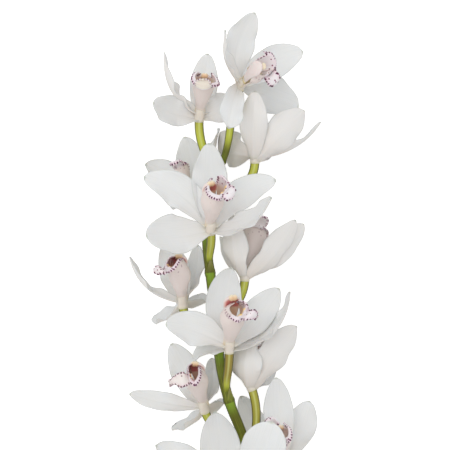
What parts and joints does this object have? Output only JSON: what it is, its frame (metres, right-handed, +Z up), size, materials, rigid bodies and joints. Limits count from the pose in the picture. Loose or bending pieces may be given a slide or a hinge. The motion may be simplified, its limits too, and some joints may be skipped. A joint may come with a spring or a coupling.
{
  "type": "cymbidium orchid stem",
  "caption": "Cut stem of a cymbidium orchid lying down: white blooms with spotted pink lips on curved pedicels along a green stalk.",
  "frame": {"origin": "centre of the bounding box's base, on the surface that the stem lies on", "axes": "+Y along the stalk from its cut end to the top bloom, +Z up from the surface, +X to the right of the stalk"},
  "size_m": [0.1426, 0.5327, 0.1084],
  "materials": {
    "stalk_green": "smooth waxy green plant stem",
    "petal_white": "satin, slightly translucent white petal",
    "lip_pink": "satin pale pink petal with dark magenta spots along its margin",
    "column_cream": "satin cream with a yellow anther cap"
  },
  "bodies": {
    "root": {"stalk": "stalk_green", "bloom_01_tepals": "petal_white", "bloom_01_lip": "lip_pink", "bloom_01_column": "column_cream", "bloom_02_tepals": "petal_white", "bloom_02_lip": "lip_pink", "bloom_02_column": "column_cream", "bloom_03_tepals": "petal_white", "bloom_03_lip": "lip_pink", "bloom_03_column": "column_cream", "bloom_04_tepals": "petal_white", "bloom_04_lip": "lip_pink", "bloom_04_column": "column_cream", "bloom_05_tepals": "petal_white", "bloom_05_lip": "lip_pink", "bloom_05_column": "column_cream", "bloom_06_tepals": "petal_white", "bloom_06_lip": "lip_pink", "bloom_06_column": "column_cream", "bloom_07_tepals": "petal_white", "bloom_07_lip": "lip_pink", "bloom_07_column": "column_cream", "bloom_08_tepals": "petal_white", "bloom_08_lip": "lip_pink", "bloom_08_column": "column_cream", "bloom_09_tepals": "petal_white", "bloom_09_lip": "lip_pink", "bloom_09_column": "column_cream", "bloom_10_tepals": "petal_white", "bloom_10_lip": "lip_pink", "bloom_10_column": "column_cream", "bloom_11_tepals": "petal_white", "bloom_11_lip": "lip_pink", "bloom_11_column": "column_cream", "bloom_12_tepals": "petal_white", "bloom_12_lip": "lip_pink", "bloom_12_column": "column_cream"}
  },
  "joints": []
}
